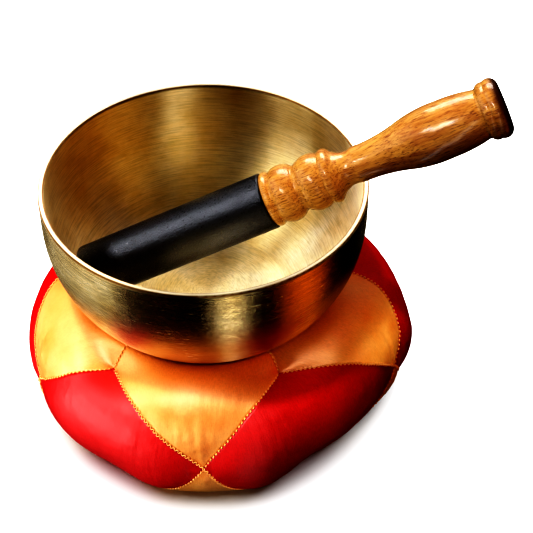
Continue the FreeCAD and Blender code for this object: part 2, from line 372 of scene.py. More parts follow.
def smoothed(points, quads, share):
    """Points drawn towards the mean of their neighbours, each by its own share."""
    count = np.zeros(len(points))
    np.add.at(count, quads.ravel(), 2)
    for _ in range(SMOOTH_ROUNDS):
        total = np.zeros_like(points)
        for side in (1, -1):
            np.add.at(total, quads.ravel(), points[np.roll(quads, side, axis=1)].reshape(-1, 3))
        points = points + (total / count[:, None] - points) * share[:, None] * SMOOTHING
    return points


def clear_of_bowl(points):
    """Points moved out of the bowl's outer wall and COVER_GAP clear of it, and none left below the floor."""
    radius = np.hypot(points[:, 0], points[:, 1])
    reach = np.hypot(radius - BELLY_OFFSET, points[:, 2] - BELLY_HEIGHT)
    near = (reach < BELLY_RADIUS + COVER_GAP) & (radius > FOOT_RADIUS) & (points[:, 2] < RIM_HEIGHT)
    grow = (BELLY_RADIUS + COVER_GAP) / np.maximum(reach, MM)
    moved = points.copy()
    new_radius = BELLY_OFFSET + (radius - BELLY_OFFSET) * grow
    moved[near, :2] *= (new_radius / np.maximum(radius, MM))[near, None]
    moved[near, 2] = (BELLY_HEIGHT + (points[:, 2] - BELLY_HEIGHT) * grow)[near]
    under = (radius <= FOOT_RADIUS) & (points[:, 2] > FOOT_HEIGHT - COVER_GAP)
    moved[under, 2] = FOOT_HEIGHT - COVER_GAP
    moved[:, 2] = np.maximum(moved[:, 2], FLOOR_GAP)
    return moved


def inflate(points, quads, seam_weight, pins):
    """The net blown up from inside by the cloth solver, held at the pins, with its seams drawn tight."""
    net = new_mesh("cushion_net", points * SIM_SCALE, quads)
    for name, weights in (("pins", pins), ("seams", seam_weight)):
        group = net.vertex_groups.new(name=name)
        for i in np.nonzero(weights > 0.01)[0]:
            group.add([int(i)], float(weights[i]), "REPLACE")
    base = square("floor_obstacle", 2)
    wall = arc((BELLY_OFFSET, BELLY_HEIGHT), BELLY_RADIUS, -FOOT_ANGLE, 0, 40)
    profile = [(MM, FOOT_HEIGHT)] + wall + [(RIM_RADIUS, RIM_HEIGHT), (MM, RIM_HEIGHT)]
    bowl = lathe("bowl_obstacle", [(r * SIM_SCALE, z * SIM_SCALE) for r, z in profile], 96)
    for obstacle in (base, bowl):
        obstacle.modifiers.new("Collision", "COLLISION")
        obstacle.collision.thickness_outer = 0.004
    cloth = net.modifiers.new("Cloth", "CLOTH")
    settings = cloth.settings
    settings.quality = 5
    settings.mass = 0.01
    settings.tension_stiffness = 20
    settings.compression_stiffness = 10
    settings.shear_stiffness = 4
    settings.bending_stiffness = 0.15
    settings.air_damping = 1
    settings.use_pressure = True
    settings.uniform_pressure_force = 50
    settings.effector_weights.gravity = 0
    settings.vertex_group_mass = "pins"
    settings.vertex_group_shrink = "seams"
    settings.shrink_min = -0.025
    settings.shrink_max = 0.05
    cloth.collision_settings.use_collision = True
    cloth.collision_settings.distance_min = 0.01
    cloth.point_cache.frame_start = 1
    cloth.point_cache.frame_end = SIM_FRAMES + 1
    scene = bpy.context.scene
    for number in range(1, SIM_FRAMES + 1):
        scene.frame_set(number)
    shape = net.evaluated_get(bpy.context.evaluated_depsgraph_get()).to_mesh()
    settled = np.empty(len(points) * 3)
    shape.vertices.foreach_get("co", settled)
    for spent in (net, base, bowl):
        bpy.data.objects.remove(spent)
    scene.frame_set(1)
    return settled.reshape(-1, 3) / SIM_SCALE


def cushion_points(panels):
    """The cushion's net after the cloth settles, its quads, and what sew says about every panel."""
    places, quads, numbers, flipped = sew(panels)
    azimuth, reach = places[:, 0], places[:, 1]
    flat = surface(azimuth, reach)
    edges = np.zeros(len(places), dtype=bool)
    for grid in numbers.values():
        edges[np.concatenate([grid[0], grid[-1], grid[:, 0], grid[:, -1]])] = True
    count = np.arange(PANELS)
    from_seam = distance_to(flat, flat[edges])
    from_top = distance_to(flat, surface((count + 0.5) * STEP + TOP_TURN, TOP_CORNER + TOP_DROP))
    from_side = distance_to(flat, surface(count * STEP + SIDE_TURN, SIDE_CORNER + SIDE_DROP))
    from_low = distance_to(flat, surface((count + 0.5) * STEP, LOW_CORNER))
    loose = fade(reach, *SEAT_EDGE) * fade(FULL_REACH - reach, *UNDERSIDE_EDGE)
    inset = COVER_INSET + SEAM_DRAW * dome(from_seam, SEAM_WIDTH)
    inset += (TOP_DIMPLE - SEAM_DRAW) * dome(from_top, TOP_WIDTH)
    inset += SIDE_DIMPLE * dome(from_side, SIDE_WIDTH)
    inset += LOW_DIMPLE * dome(from_low, LOW_WIDTH)
    radius = np.hypot(flat[:, 0], flat[:, 1])
    for lump_azimuth, below, size, height in LUMPS:
        turn = np.angle(np.exp(1j * (azimuth - math.radians(lump_azimuth))))
        away = ((turn * radius) ** 2 + (reach - SIDE_CORNER - below * MM) ** 2) / (size * MM) ** 2
        inset -= height * MM * np.exp(-away)
    start = surface(azimuth, reach, inset * loose)
    share = np.sin(azimuth) ** 2 * fade(radius, *LEANING)
    start[:, 0] += (LEAN + SPREAD * np.sign(start[:, 0])) * share
    start += RANDOM.normal(0, UNEVEN, start.shape) * loose[:, None]
    seam_weight = dome(from_seam, TIGHT_SEAM) * loose
    pins = np.maximum.reduce([1 - loose, 1.0 * (from_top < PINNED_TOP), 1.0 * (from_side < PINNED_SIDE)])
    moved = inflate(start, quads, seam_weight, pins) - start
    moved *= CALM + (1 - CALM) * fade(reach, *SOLVER_TAKES_OVER)[:, None]
    far = np.linalg.norm(moved, axis=1, keepdims=True) / MOST_MOVED + 1e-9
    settled = start + moved * np.tanh(far) / far
    calm = loose * (1 - fade(reach, *STRETCHED)) * fade(from_top, *CORNER_KEPT)
    settled = smoothed(clear_of_bowl(settled), quads, calm)
    return clear_of_bowl(settled), quads, numbers, flipped


# ---------------------------------------------------------------- cloth panels

FINER = 2
CLOTH_THICKNESS = 0.7 * MM


def finer_matrix(cells, finer):
    """Catmull-Rom weights that turn cells + 1 points of a row into finer * cells + 1."""
    weights = np.zeros((cells * finer + 1, cells + 1))
    for row in range(len(weights)):
        at = min(row // finer, cells - 1)
        t = row / finer - at
        shares = (
            -0.5 * t + t**2 - 0.5 * t**3,
            1 - 2.5 * t**2 + 1.5 * t**3,
            0.5 * t + 2 * t**2 - 1.5 * t**3,
            -0.5 * t**2 + 0.5 * t**3,
        )
        for offset, share in zip((-1, 0, 1, 2), shares):
            column = at + offset
            if column < 0:
                weights[row, 0] += 2 * share
                weights[row, 1] -= share
            elif column > cells:
                weights[row, cells] += 2 * share
                weights[row, cells - 1] -= share
            else:
                weights[row, column] += share
    return weights


def refine(grid):
    """The same patch with a finer grid; two patches that share an edge keep sharing it."""
    weights = finer_matrix(CELLS, FINER)
    return np.einsum("ai,bj,ij...->ab...", weights, weights, grid)


def grid_normals(points, flip):
    """Unit normals of a grid of points, facing out of the cushion."""
    down = np.gradient(points, axis=0)
    across = np.gradient(points, axis=1)
    return unit(np.cross(down, across) * (-1 if flip else 1))


def cloth_panel(name, points, flip, places):
    """A thin shell of cloth from a grid of its outer points, with a map of the cloth in metres."""
    rows, columns = points.shape[:2]
    normals = grid_normals(points, flip)
    inner = points - normals * CLOTH_THICKNESS
    numbers = np.arange(rows * columns).reshape(rows, columns)
    under = numbers + rows * columns
    outside, inside = grid_quads(numbers), grid_quads(under)[:, ::-1]
    rim = np.concatenate([numbers[0, :-1], numbers[:-1, -1], numbers[-1, :0:-1], numbers[:0:-1, 0]])
    after = np.roll(rim, -1)
    border = np.stack([rim, after, after + rows * columns, rim + rows * columns], axis=-1)
    faces = np.concatenate([outside, inside, border])
    if flip:
        faces = faces[:, ::-1]
    piece = new_mesh(name, np.concatenate([points.reshape(-1, 3), inner.reshape(-1, 3)]), faces)
    middle = places[..., 0].mean()
    azimuth, reach = places[..., 0] - middle, places[..., 1]
    flat = np.stack([azimuth * np.interp(reach, SECTION_REACH, SECTION[:, 0]), reach], axis=-1).reshape(-1, 2)
    flat = np.concatenate([flat, flat])
    layer = piece.data.uv_layers.new(name="cloth")
    corners = np.empty(len(piece.data.loops), dtype=np.int32)
    piece.data.loops.foreach_get("vertex_index", corners)
    layer.uv.foreach_set("vector", flat[corners].ravel())
    return piece


# ---------------------------------------------------------------- stitches

THREAD_RADIUS = 0.26 * MM
THREAD_SIDES = 6
# a thread's section along its length: (share of the length, share of the radius)
THREAD_ENDS = ((0.0, 0.15), (0.12, 0.75), (0.3, 1.0), (0.7, 1.0), (0.88, 0.75), (1.0, 0.15))
ANY_WAY = (0.3, 0.5, 0.81)  # a direction that no thread takes
STITCH_PITCH = 2.1 * MM
STITCH_LIFT = 0.3 * MM
STITCH_END_LIFT = 0.35 * MM
ZIGZAG = 0.8 * MM, 0.7 * MM  # how far a zigzag reaches to either side of the seam
PLAIN_HALF = 0.62 * MM  # half the length of a plain stitch
PLAIN_SLANT = 0.25 * MM
PLAIN_THICKER = 1.6
LOWEST_THREAD = 0.1 * MM
STAR_START = 4  # the seams of a star stop short of the middle, where they would all meet


def even_steps(points, pitch):
    """Points an even distance apart, about the pitch, along a line of points."""
    reach = np.r_[0, np.cumsum(np.linalg.norm(np.diff(points, axis=0), axis=1))]
    count = max(2, int(round(reach[-1] / pitch)))
    even = np.linspace(0, reach[-1], count + 1)
    return np.stack([np.interp(even, reach, points[:, i]) for i in range(3)], axis=-1)


def capsule(start, end, radius):
    """Points and quads of a short round thread from start to end, with round ends."""
    axis = unit(end - start)
    aside = unit(np.cross(axis, ANY_WAY))
    third = np.cross(axis, aside)
    angles = np.arange(THREAD_SIDES) * 2 * math.pi / THREAD_SIDES
    rings = [
        start + (end - start) * share + radius * size * (np.cos(a) * aside + np.sin(a) * third)
        for share, size in THREAD_ENDS
        for a in angles
    ]
    numbers = np.arange(len(rings)).reshape(len(THREAD_ENDS), THREAD_SIDES)
    wrapped = np.concatenate([numbers, numbers[:, :1]], axis=1)
    return np.array(rings), [*grid_quads(wrapped)[:, ::-1], numbers[0][::-1], numbers[-1]]


def stitched(name, seams):
    """One mesh of all the stitches along some seams, each a line, its normals, and whether it is a zigzag."""
    points, faces = [], []
    count = 0
    for line, normal, zigzag in seams:
        knots = even_steps(line, STITCH_PITCH)
        forward = unit(np.gradient(knots, axis=0))
        reach = np.linspace(0, 1, len(line))
        share = np.linspace(0, 1, len(knots))
        up = unit(np.stack([np.interp(share, reach, normal[:, i]) for i in range(3)], axis=-1))
        side = unit(np.cross(forward, up))
        for i in range(1, len(knots) - 1):
            lift = up[i] * STITCH_LIFT
            if zigzag:
                a = knots[i] + side[i] * ZIGZAG[0] + lift
                b = knots[i] + forward[i] * STITCH_PITCH / 2 - side[i] * ZIGZAG[1] + lift
                c = knots[i + 1] + side[i + 1] * ZIGZAG[0] + up[i + 1] * STITCH_END_LIFT
                runs = ((a, b), (b, c))
            else:
                slant = forward[i] * PLAIN_HALF - side[i] * PLAIN_SLANT
                runs = ((knots[i] - slant + lift, knots[i] + slant + lift),)
            for a, b in runs:
                thread, quads = capsule(a, b, THREAD_RADIUS * (1 if zigzag else PLAIN_THICKER))
                points.append(thread)
                faces += [quad + count for quad in quads]
                count += len(thread)
    points = np.concatenate(points)
    points[:, 2] = np.maximum(points[:, 2], LOWEST_THREAD)
    return new_mesh(name, points, faces)


# ---------------------------------------------------------------- cushion

panels = make_panels()
net, net_quads, numbers, flipped = cushion_points(panels)
fine = {name: refine(net[grid]) for name, grid in numbers.items()}

cloth_pieces = []  # each piece with the CAD node that it stands for
for name, points in fine.items():
    piece = cloth_panel(name.replace("panel", "cloth"), points, flipped[name], refine(panels[name]))
    cloth_pieces.append((piece, name))

seams = {"upper": [], "lower": [], "top": [], "bottom": []}
for star, edge, zigzag_first in (("top", "upper", True), ("bottom", "lower", False)):
    for k in range(1, PANELS + 1):
        kite = fine[f"{star}_panel_{k}"]
        normal = grid_normals(kite, flipped[f"{star}_panel_{k}"])
        seams[edge].append((kite[-1, :], normal[-1, :], zigzag_first))
        seams[edge].append((kite[:, -1], normal[:, -1], not zigzag_first))
        seams[star].append((kite[0, STAR_START:], normal[0, STAR_START:], False))
stitch_pieces = []
for place, lines in seams.items():
    stitch_pieces.append((stitched(f"{place}_seam_stitches", lines), f"{place}_seam_thread"))


def filling_shape(depth):
    """The stuffing: the cushion's net set in under the cloth."""
    piece = new_mesh("stuffing", net, net_quads)
    normals = np.empty(len(net) * 3)
    piece.data.vertices.foreach_get("normal", normals)
    piece.data.vertices.foreach_set("co", (net - normals.reshape(-1, 3) * depth).ravel())
    piece.data.update()
    return piece


stuffing = filling_shape(2.2 * MM)

# ---------------------------------------------------------------- materials


class Paint:
    """A node material in the making: a method adds nodes and returns the socket that carries the result."""

    def __init__(self, name, **values):
        self.material = bpy.data.materials.new(name)
        self.material.use_nodes = True
        self.tree = self.material.node_tree
        self.shader = self.tree.nodes["Principled BSDF"]
        for key, value in values.items():
            self.shader.inputs[key.replace("_", " ")].default_value = value

    def node(self, kind, inputs=None, **settings):
        """A node with its settings, and its inputs given as numbers or as sockets to link."""
        node = self.tree.nodes.new("ShaderNode" + kind)
        for key, value in settings.items():
            setattr(node, key, value)
        for key, value in (inputs or {}).items():
            self.put(node.inputs[key], value)
        return node

    def put(self, socket, value):
        if isinstance(value, bpy.types.NodeSocket):
            self.tree.links.new(value, socket)
        else:
            socket.default_value = value

    def math(self, operation, a, b=0.0):
        return self.node("Math", {0: a, 1: b}, operation=operation).outputs[0]

    def between(self, value, start, end, low=0.0, high=1.0):
        """Low at start, high at end, in proportion between them and level outside."""
        inputs = {"Value": value, "From Min": start, "From Max": end, "To Min": low, "To Max": high}
        return self.node("MapRange", inputs).outputs[0]

    def around_axis(self, place):
        """Distance from the Z axis, height, and turn round the axis."""
        x, y, z = self.node("SeparateXYZ", {0: place}).outputs
        squares = self.math("MULTIPLY", x, x), self.math("MULTIPLY", y, y)
        return self.math("SQRT", self.math("ADD", *squares)), z, self.math("ARCTAN2", y, x)

    def place(self):
        return self.node("TexCoord").outputs["Object"]

    def cloth_map(self):
        return self.node("UVMap", uv_map="cloth").outputs["UV"]

    def stretch(self, vector, scale):
        return self.node("Mapping", {"Vector": vector, "Scale": scale}).outputs[0]

    def noise(self, vector, scale, detail=4.0, roughness=0.5, distortion=0.0):
        inputs = {"Vector": vector, "Scale": scale, "Detail": detail, "Roughness": roughness}
        inputs["Distortion"] = distortion
        return self.node("TexNoise", inputs).outputs["Fac"]

    def ramp(self, value, *stops):
        """Colours or greys at positions: (position, colour or grey)."""
        node = self.node("ValToRGB", {"Fac": value})
        marks = node.color_ramp.elements
        while len(marks) < len(stops):
            marks.new(0.5)
        for mark, (position, colour) in zip(marks, stops):
            mark.position = position
            mark.color = (*colour, 1) if isinstance(colour, tuple) else (colour, colour, colour, 1)
        return node.outputs["Color"]

    def mix(self, share, a, b, blend="MIX"):
        node = self.node("Mix", data_type="RGBA", blend_type=blend)
        self.put(node.inputs[0], share)
        self.put(node.inputs[6], a if isinstance(a, bpy.types.NodeSocket) else (*a, 1))
        self.put(node.inputs[7], b if isinstance(b, bpy.types.NodeSocket) else (*b, 1))
        return node.outputs[2]

    def bump(self, height, distance, strength=1.0, below=None):
        inputs = {"Height": height, "Distance": distance, "Strength": strength}
        if below is not None:
            inputs["Normal"] = below
        return self.node("Bump", inputs).outputs["Normal"]

    def done(self, colour=None, roughness=None, normal=None, tangent=None):
        pairs = (("Base Color", colour), ("Roughness", roughness), ("Normal", normal), ("Tangent", tangent))
        for name, socket in pairs:
            if socket is not None:
                self.put(self.shader.inputs[name], socket)
        return self.material


SEAT_SHADE = 82 * MM, 64 * MM  # radii over which the satin's colour is painted deeper towards the seat, a painted shade under the bowl


def satin(name, deep, plain, bright, across):
    """Satin with long floats, faint slubs and uneven dye; its shine spreads across the floats."""
    paint = Paint(name, Metallic=0.15, Coat_Weight=0.5, Coat_Roughness=0.4)
    paint.shader.inputs["Anisotropic"].default_value = 0.7
    paint.shader.inputs["Anisotropic Rotation"].default_value = across
    cloth = paint.cloth_map()
    floats = paint.noise(paint.stretch(cloth, (2600, 420, 1)), 1.0, detail=3, roughness=0.6)
    weft = paint.noise(paint.stretch(cloth, (380, 2600, 1)), 1.0, detail=3, roughness=0.6)
    slubs = paint.noise(paint.stretch(cloth, (420, 38, 1)), 1.0, detail=4)
    dye = paint.noise(paint.place(), 34, detail=3)
    weave = paint.math("ADD", paint.math("MULTIPLY", floats, 0.65), paint.math("MULTIPLY", weft, 0.35))
    colour = paint.ramp(dye, (0.3, deep), (0.55, plain), (0.8, bright))
    colour = paint.mix(paint.math("MULTIPLY", slubs, 0.25), colour, deep)
    radius = paint.around_axis(paint.place())[0]
    # painted shade: the colour deepens towards the seat, where the bowl shades the cover
    seat = paint.between(radius, *SEAT_SHADE, high=0.75)
    colour = paint.mix(seat, colour, deep)
    colour = paint.mix(0.34, colour, paint.ramp(weave, (0.35, 0.4), (0.62, 1.0)), blend="MULTIPLY")
    rough = paint.between(slubs, 0, 1, 0.38, 0.52)
    relief = paint.bump(weave, 0.00012)
    relief = paint.bump(slubs, 0.00018, below=relief)
    tangent = paint.node("Tangent", direction_type="UV_MAP", uv_map="cloth").outputs[0]
    return paint.done(colour, rough, relief, tangent)


def thread_finish(name, dark, light):
    """Twisted rayon thread."""
    paint = Paint(name, Sheen_Weight=0.2, Specular_IOR_Level=0.6)
    place = paint.place()
    waves = {"Vector": place, "Scale": 900.0, "Distortion": 3.0}
    twist = paint.node("TexWave", waves, bands_direction="DIAGONAL").outputs["Fac"]
    colour = paint.ramp(twist, (0.2, dark), (0.8, light))
    rough = paint.ramp(paint.noise(place, 400), (0.3, 0.4), (0.7, 0.6))
    return paint.done(colour, rough, paint.bump(twist, 0.00006))


def stuffing_finish(name):
    """Loose cotton wadding."""
    paint = Paint(name, Sheen_Weight=0.3)
    tufts = paint.noise(paint.place(), 160, detail=8, roughness=0.7)
    colour = paint.ramp(tufts, (0.3, (0.62, 0.57, 0.48)), (0.7, (0.85, 0.81, 0.72)))
    return paint.done(colour, paint.ramp(tufts, (0, 0.85), (1, 1.0)), paint.bump(tufts, 0.001))


def spun_brass(name):
    """Brass turned on a lathe: fine rings round the axis, a slightly cloudy surface, a worn rim with painted
    shade at its edges.
    """
    paint = Paint(name, Metallic=1.0, Anisotropic=1.0, Anisotropic_Rotation=0.25)
    place = paint.place()
    radius, height, turn = paint.around_axis(place)
    long_scratch = paint.math("MULTIPLY", turn, 0.0028)
    rings = paint.node("CombineXYZ", {0: radius, 1: height, 2: long_scratch}).outputs[0]
    scratches = paint.noise(rings, 1700, detail=4, roughness=0.7)
    fine_rings = paint.noise(rings, 3400, detail=2, roughness=0.6)
    broad_rings = paint.noise(rings, 260, detail=2)
    cloud = paint.noise(place, 46, detail=6, roughness=0.62)
    dark, plain, light = (0.70, 0.51, 0.22), (0.80, 0.63, 0.33), (0.90, 0.76, 0.47)
    colour = paint.ramp(cloud, (0.3, dark), (0.5, plain), (0.75, light))
    colour = paint.mix(0.4, colour, paint.ramp(scratches, (0.36, 0.35), (0.56, 1.0)), blend="MULTIPLY")
    # the worn rim gets a tone of its own, and a painted shade, dark brown, along its inner and outer edges
    rim = paint.between(height, RIM_HEIGHT - 1.6 * MM, RIM_HEIGHT - 0.4 * MM)
    from_middle = paint.math("ABSOLUTE", paint.math("SUBTRACT", radius, RIM_RADIUS - WALL / 2))
    corner = paint.between(from_middle, 0.4 * MM, 0.9 * MM)
    colour = paint.mix(rim, colour, paint.mix(corner, (0.64, 0.52, 0.32), (0.20, 0.10, 0.03)))
    facing = paint.node("TexCoord").outputs["Normal"]
    from_axis = paint.stretch(place, (1, 1, 0))
    outward = paint.node("VectorMath", {0: facing, 1: from_axis}, operation="DOT_PRODUCT")
    inside = paint.math("LESS_THAN", outward.outputs["Value"], 0.0)
    middle = paint.between(radius, 56 * MM, 12 * MM, high=0.36)
    rough = paint.between(scratches, 0, 1, 0.17, 0.27)
    rough = paint.math("ADD", rough, paint.math("MULTIPLY", inside, 0.05))
    rough = paint.math("ADD", rough, paint.math("MULTIPLY", cloud, 0.07))
    rough = paint.math("ADD", rough, middle)
    rough = paint.math("ADD", rough, paint.math("MULTIPLY", rim, 0.3))
    dents = paint.noise(place, 62, detail=2)
    relief = paint.bump(dents, 0.0004, strength=paint.math("MULTIPLY", middle, 2.7))
    relief = paint.bump(broad_rings, 0.00008, below=relief)
    relief = paint.bump(scratches, 0.00009, below=relief)
    relief = paint.bump(fine_rings, 0.00002, below=relief)
    tangent = paint.node("Tangent", direction_type="RADIAL", axis="Z").outputs[0]
    return paint.done(colour, rough, relief, tangent)


def handle_points():
    """The points of the handle's own CAD mesh."""
    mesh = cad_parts["striker_handle"].data
    points = np.empty(len(mesh.vertices) * 3)
    mesh.vertices.foreach_get("co", points)
    return points.reshape(-1, 3)


def striker_line():
    """A point on the striker's axis and its direction towards the knob."""
    points = handle_points()
    centre = points.mean(axis=0)
    axis = Vector(np.linalg.svd(points - centre, full_matrices=False)[2][0])
    return Vector(centre), axis if axis.x > 0 else -axis


def striker_frame():
    """Rotation and shift that lay the striker's axis along Z, from the handle's own mesh."""
    centre, axis = striker_line()
    lay = axis.rotation_difference(Vector((0, 0, 1)))
    return lay.to_euler(), -(lay @ centre)


def striker_end():
    """Place of the knob's end face along the striker's axis, in the frame that striker_frame sets."""
    turn, shift = striker_frame()
    return float((handle_points() @ np.array(turn.to_matrix())[2]).max() + shift.z)


def along_striker(paint):
    """Coordinates with Z along the striker's axis."""
    turn, shift = striker_frame()
    inputs = {"Vector": paint.place(), "Rotation": tuple(turn), "Location": tuple(shift)}
    return paint.node("Mapping", inputs).outputs[0]


def varnished_wood(name):
    """Golden wood: fine pores and flecks along the grain, darker latewood, a dark knob end, clear varnish."""
    paint = Paint(name, Coat_Weight=0.8, Coat_Roughness=0.09, Specular_IOR_Level=0.5)
    place = along_striker(paint)
    figure = paint.noise(paint.stretch(place, (95, 60, 17)), 1.0, detail=5, roughness=0.6, distortion=1.2)
    grain = paint.noise(paint.stretch(place, (900, 700, 60)), 1.0, detail=4, roughness=0.7, distortion=0.3)
    pores = paint.noise(paint.stretch(place, (2100, 2100, 210)), 1.0, detail=2)
    blotches = paint.noise(place, 75, detail=3)
    dark, plain, light = (0.50, 0.25, 0.05), (0.74, 0.47, 0.13), (0.88, 0.62, 0.20)
    colour = paint.ramp(figure, (0.3, dark), (0.47, plain), (0.7, light))
    colour = paint.mix(paint.ramp(grain, (0.45, 0.0), (0.66, 0.7)), colour, (0.34, 0.11, 0.02))
    colour = paint.mix(paint.ramp(pores, (0.57, 0.0), (0.68, 0.75)), colour, (0.18, 0.05, 0.01))
    colour = paint.mix(paint.ramp(blotches, (0.5, 0.0), (0.75, 0.35)), colour, (0.55, 0.20, 0.05))
    along = paint.node("SeparateXYZ", {0: place}).outputs[2]
    end = striker_end()
    # darker from 4.2 mm before the knob's end face, nearly black over its last 1.6 mm
    knob_end_darkening = paint.between(along, end - 4.2 * MM, end - 1.6 * MM)
    colour = paint.mix(paint.math("MULTIPLY", knob_end_darkening, 0.93), colour, (0.05, 0.012, 0.006))
    rough = paint.ramp(grain, (0.3, 0.36), (0.7, 0.5))
    relief = paint.bump(grain, 0.00008)
    relief = paint.bump(pores, 0.00008, below=relief)
    paint.put(paint.shader.inputs["Coat Normal"], paint.bump(grain, 0.00005))
    return paint.done(colour, rough, relief)


def suede(name):
    """Black suede: short nap in soft patches, fine pits, faint scuffs."""
    paint = Paint(name, Sheen_Weight=0.03, Sheen_Roughness=0.35, Specular_IOR_Level=0.9)
    paint.shader.inputs["Specular Tint"].default_value = (0.92, 0.94, 1.0, 1)
    place = along_striker(paint)
    nap = paint.noise(place, 1100, detail=6, roughness=0.75)
    patches = paint.noise(place, 90, detail=4)
    pits = paint.node("TexVoronoi", {"Vector": place, "Scale": 1500.0}).outputs["Distance"]
    colour = paint.ramp(nap, (0.3, (0.002, 0.002, 0.003)), (0.7, (0.01, 0.01, 0.013)))
    colour = paint.mix(paint.ramp(patches, (0.5, 0.0), (0.8, 0.3)), colour, (0.009, 0.01, 0.012))
    rough = paint.ramp(nap, (0.3, 0.24), (0.7, 0.36))
    relief = paint.bump(nap, 0.00016)
    relief = paint.bump(pits, 0.00014, below=relief)
    return paint.done(colour, rough, relief)


gold = satin("gold_satin_cloth", (0.92, 0.36, 0.08), (0.97, 0.59, 0.21), (1.0, 0.70, 0.32), 0.0)
red = satin("red_satin_cloth", (0.66, 0.008, 0.012), (0.80, 0.016, 0.02), (0.90, 0.03, 0.034), 0.25)
finishes = {
    "gold_satin": gold,
    "red_satin": red,
    "seam_thread": thread_finish("stitch_thread", (0.80, 0.42, 0.08), (1.0, 0.78, 0.34)),
    "filling": stuffing_finish("wadding"),
    "spun_brass": spun_brass("turned_brass"),
    "varnished_wood": varnished_wood("clear_varnished_wood"),
    "black_suede": suede("black_suede_sleeve"),
}


for node, slot in (
    ("bowl", "spun_brass"),
    ("striker_handle", "varnished_wood"),
    ("striker_sleeve", "black_suede"),
    ("striker_end_cap", "black_suede"),
):
    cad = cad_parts[node]
    for place in range(len(cad.data.materials)):
        cad.data.materials[place] = finishes[slot]

# ---------------------------------------------------------------- what each piece stands for and moves with


def stands_for(piece, node, slot):
    """Gives a piece of the cushion its finish and its body, and hides the CAD node it stands for."""
    piece.data.materials.clear()
    piece.data.materials.append(finishes[slot])
    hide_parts(node)
    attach(piece, "cushion")


for piece, node in cloth_pieces:
    stands_for(piece, node, "red_satin" if node.startswith("side") else "gold_satin")
for piece, node in stitch_pieces:
    stands_for(piece, node, "seam_thread")
stands_for(stuffing, "cushion_filling", "filling")

# ---------------------------------------------------------------- camera and floor

scene = bpy.context.scene

CAMERA_ELEVATION = math.radians(43.62)
CAMERA_DISTANCE = 0.603
CAMERA_LENS = 89.8
SIGHT_ASIDE = 28.5 * MM  # the picture's middle, seen from the middle of the rim
SIGHT_BELOW = 39.2 * MM


def look(piece, towards):
    piece.rotation_mode = "QUATERNION"
    piece.rotation_quaternion = Vector(towards).to_track_quat("-Z", "Y")


def add(name, data, location):
    piece = bpy.data.objects.new(name, data)
    piece.location = location
    scene.collection.objects.link(piece)
    return piece


def take_aim():
    """The camera, looking down at the bowl from the front."""
    data = bpy.data.cameras.new("camera")
    data.lens = CAMERA_LENS
    data.sensor_width = 36
    forward = Vector((0, math.cos(CAMERA_ELEVATION), -math.sin(CAMERA_ELEVATION)))
    upward = Vector((0, math.sin(CAMERA_ELEVATION), math.cos(CAMERA_ELEVATION)))
    sight = Vector((SIGHT_ASIDE, 0, RIM_HEIGHT)) - SIGHT_BELOW * upward
    camera = add("camera", data, sight - forward * CAMERA_DISTANCE)
    look(camera, forward)
    scene.camera = camera
    return camera


def pale_floor():
    """A plain pale floor that the object doesn't mirror or take light from."""
    floor = square("floor", 4, smooth=False)
    paint = Paint("pale_floor")
    grain = paint.noise(paint.place(), 30, detail=4)
    tone, rough = paint.ramp(grain, (0.2, 0.86), (0.8, 0.88)), paint.ramp(grain, (0, 0.9), (1, 1.0))
    floor.data.materials.append(paint.done(tone, rough))
    floor.visible_diffuse = False
    floor.visible_glossy = False
    floor.visible_shadow = False
    return floor


camera = take_aim()
floor = pale_floor()

# ---------------------------------------------------------------- lights

BOWL, HANDLE, SLEEVE, CAP = (
    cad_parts[node] for node in ("bowl", "striker_handle", "striker_sleeve", "striker_end_cap")
)
STRIKER = (HANDLE, SLEEVE, CAP)
HARD = (BOWL, *STRIKER)
COVER = [piece for piece, node in cloth_pieces + stitch_pieces]
RIGHT_KITE = [piece for piece in COVER if piece.name == "top_cloth_2"]
NOT_RIGHT = [piece for piece in COVER if not piece.name.startswith(("side", "top_cloth_2"))]
GROUND = (0, 0, 0)
BOWL_MIDDLE = (0, 0, 0.07)
RIGHT_CORNER = Vector((0.082, -0.036, 0.045))  # of the right-hand kite
WARM, ORANGE, RED = (1, 0.32, 0.07), (1, 0.32, 0.06), (1, 0.3, 0.1)
COOL, COLD = (0.9, 0.97, 1.25), (0.8, 0.92, 1.4)


def front_sky(azimuth, elevation, distance=1.0):
    """A place in a direction: azimuth from the front (-Y) towards +X, and elevation, in degrees."""
    a, e = math.radians(azimuth), math.radians(elevation)
    return Vector((math.cos(e) * math.sin(a), -math.cos(e) * math.cos(a), math.sin(e))) * distance


def mirrored(along, share):
    """A place whose image sits on the striker, as the camera sees it.

    The image lies so far along the axis from the handle's middle, and above the centre line by a share of the
    striker's radius.
    """
    centre, axis = striker_line()
    spot = centre + axis * along
    view = (camera.location - spot).normalized()
    facing = (view - axis * view.dot(axis)).normalized()
    above = axis.cross(facing)
    if above.z < 0:
        above = -above
    normal = facing * math.sqrt(1 - share**2) + above * share
    return spot + (2 * normal.dot(view) * normal - view) * 1.2


def linked(name, pieces, state):
    """A collection for light linking that includes or excludes some pieces."""
    group = bpy.data.collections.new(name)
    for piece in pieces:
        group.objects.link(piece)
    for entry in group.collection_objects:
        entry.light_linking.link_state = state
    return group


